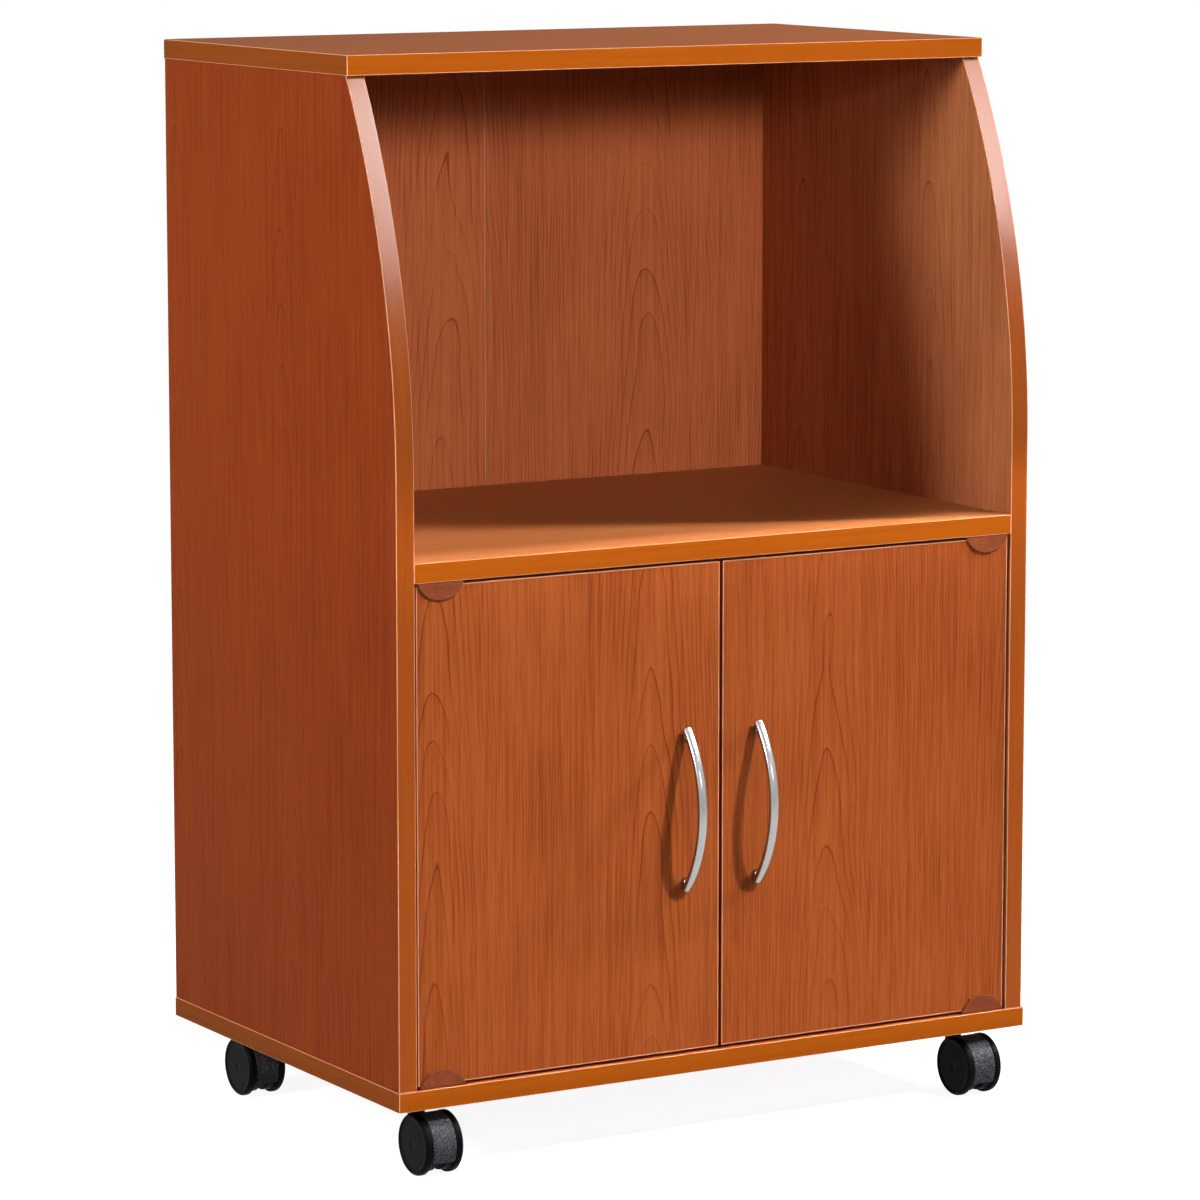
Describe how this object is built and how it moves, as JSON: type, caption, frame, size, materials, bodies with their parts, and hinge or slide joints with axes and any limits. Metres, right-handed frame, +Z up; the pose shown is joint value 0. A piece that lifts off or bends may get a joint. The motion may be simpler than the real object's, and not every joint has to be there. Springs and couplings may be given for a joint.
{
  "type": "microwave cart",
  "caption": "Wheeled laminated-board kitchen cart with an open microwave bay, curved side fronts, inset double doors with bow handles and twin-wheel casters.",
  "frame": {"origin": "on the floor, under the middle of the overall width and of the overall depth with the handles", "axes": "+Z up; the doors and the open bay face -Y; +X is to the right of someone standing in front of the cart"},
  "size_m": [0.6, 0.427, 0.887],
  "materials": {
    "cherry_laminate": "satin cherry-grain laminate on chipboard, grain upright on the sides",
    "door_laminate": "satin cherry-grain laminate, grain upright",
    "top_laminate": "satin cherry-grain laminate, grain along the width",
    "back_board": "printed cherry grain on thin hardboard",
    "edge_strip": "honey-coloured wood-print edging, satin",
    "hinge_plastic": "red-brown moulded plastic, satin",
    "joiner_plastic": "pale extruded plastic",
    "white_plastic": "plain moulded plastic",
    "hood_plastic": "black moulded nylon, fine texture",
    "wheel_plastic": "black moulded nylon, satin",
    "satin_metal": "satin nickel-coloured metal",
    "zinc_steel": "zinc-plated steel"
  },
  "bodies": {
    "cabinet": {"top_panel": "top_laminate", "top_band": "edge_strip", "bottom_panel": "cherry_laminate", "bottom_band": "edge_strip", "side_panel_left": "cherry_laminate", "side_panel_right": "cherry_laminate", "side_band_left": "edge_strip", "side_band_right": "edge_strip", "shelf_panel": "cherry_laminate", "shelf_band": "edge_strip", "back_panel_left": "back_board", "back_panel_right": "back_board", "back_joiner": "joiner_plastic", "hinge_bush_left_top": "white_plastic", "hinge_bush_left_bottom": "white_plastic", "hinge_bush_right_top": "white_plastic", "hinge_bush_right_bottom": "white_plastic", "catch_housing": "white_plastic", "caster_socket_front_left": "white_plastic", "caster_socket_front_right": "white_plastic", "caster_socket_rear_left": "white_plastic", "caster_socket_rear_right": "white_plastic"},
    "door_left": {"door_panel_left": "door_laminate", "door_band_left": "edge_strip", "door_hinge_band_left": "edge_strip", "handle_left": "satin_metal", "handle_screw_left_top": "zinc_steel", "handle_screw_left_bottom": "zinc_steel", "hinge_leaf_left_top": "hinge_plastic", "hinge_leaf_left_bottom": "hinge_plastic", "strike_plate_left": "zinc_steel"},
    "door_right": {"door_panel_right": "door_laminate", "door_band_right": "edge_strip", "door_hinge_band_right": "edge_strip", "handle_right": "satin_metal", "handle_screw_right_top": "zinc_steel", "handle_screw_right_bottom": "zinc_steel", "hinge_leaf_right_top": "hinge_plastic", "hinge_leaf_right_bottom": "hinge_plastic", "strike_plate_right": "zinc_steel"},
    "caster_front_left": {"caster_stem_front_left": "zinc_steel", "caster_hood_front_left": "hood_plastic", "caster_axle_front_left": "zinc_steel"},
    "caster_front_right": {"caster_stem_front_right": "zinc_steel", "caster_hood_front_right": "hood_plastic", "caster_axle_front_right": "zinc_steel"},
    "caster_rear_left": {"caster_stem_rear_left": "zinc_steel", "caster_hood_rear_left": "hood_plastic", "caster_axle_rear_left": "zinc_steel"},
    "caster_rear_right": {"caster_stem_rear_right": "zinc_steel", "caster_hood_rear_right": "hood_plastic", "caster_axle_rear_right": "zinc_steel"},
    "wheel_a_front_left": {"caster_wheel_a_front_left": "wheel_plastic"},
    "wheel_b_front_left": {"caster_wheel_b_front_left": "wheel_plastic"},
    "wheel_a_front_right": {"caster_wheel_a_front_right": "wheel_plastic"},
    "wheel_b_front_right": {"caster_wheel_b_front_right": "wheel_plastic"},
    "wheel_a_rear_left": {"caster_wheel_a_rear_left": "wheel_plastic"},
    "wheel_b_rear_left": {"caster_wheel_b_rear_left": "wheel_plastic"},
    "wheel_a_rear_right": {"caster_wheel_a_rear_right": "wheel_plastic"},
    "wheel_b_rear_right": {"caster_wheel_b_rear_right": "wheel_plastic"}
  },
  "joints": [
    {"name": "door_left_hinge", "type": "hinge", "parent": "cabinet", "child": "door_left", "pos_m": [-0.2593, -0.1745, 0.2765], "axis": [0, 0, -1], "range_deg": [0, 110]},
    {"name": "door_right_hinge", "type": "hinge", "parent": "cabinet", "child": "door_right", "pos_m": [0.2593, -0.1745, 0.2765], "axis": [0, 0, 1], "range_deg": [0, 110]},
    {"name": "swivel_front_left", "type": "hinge", "parent": "cabinet", "child": "caster_front_left", "pos_m": [-0.26, -0.1405, 0.05], "axis": [0, 0, 1], "continuous": true},
    {"name": "swivel_front_right", "type": "hinge", "parent": "cabinet", "child": "caster_front_right", "pos_m": [0.26, -0.1405, 0.05], "axis": [0, 0, 1], "continuous": true},
    {"name": "swivel_rear_left", "type": "hinge", "parent": "cabinet", "child": "caster_rear_left", "pos_m": [-0.26, 0.1675, 0.05], "axis": [0, 0, 1], "continuous": true},
    {"name": "swivel_rear_right", "type": "hinge", "parent": "cabinet", "child": "caster_rear_right", "pos_m": [0.26, 0.1675, 0.05], "axis": [0, 0, 1], "continuous": true},
    {"name": "spin_a_front_left", "type": "hinge", "parent": "caster_front_left", "child": "wheel_a_front_left", "pos_m": [-0.27025, -0.1645, 0.025], "axis": [1, 0, 0], "continuous": true},
    {"name": "spin_b_front_left", "type": "hinge", "parent": "caster_front_left", "child": "wheel_b_front_left", "pos_m": [-0.24975, -0.1645, 0.025], "axis": [1, 0, 0], "continuous": true},
    {"name": "spin_a_front_right", "type": "hinge", "parent": "caster_front_right", "child": "wheel_a_front_right", "pos_m": [0.24975, -0.1645, 0.025], "axis": [1, 0, 0], "continuous": true},
    {"name": "spin_b_front_right", "type": "hinge", "parent": "caster_front_right", "child": "wheel_b_front_right", "pos_m": [0.27025, -0.1645, 0.025], "axis": [1, 0, 0], "continuous": true},
    {"name": "spin_a_rear_left", "type": "hinge", "parent": "caster_rear_left", "child": "wheel_a_rear_left", "pos_m": [-0.27025, 0.1435, 0.025], "axis": [1, 0, 0], "continuous": true},
    {"name": "spin_b_rear_left", "type": "hinge", "parent": "caster_rear_left", "child": "wheel_b_rear_left", "pos_m": [-0.24975, 0.1435, 0.025], "axis": [1, 0, 0], "continuous": true},
    {"name": "spin_a_rear_right", "type": "hinge", "parent": "caster_rear_right", "child": "wheel_a_rear_right", "pos_m": [0.24975, 0.1435, 0.025], "axis": [1, 0, 0], "continuous": true},
    {"name": "spin_b_rear_right", "type": "hinge", "parent": "caster_rear_right", "child": "wheel_b_rear_right", "pos_m": [0.27025, 0.1435, 0.025], "axis": [1, 0, 0], "continuous": true}
  ]
}
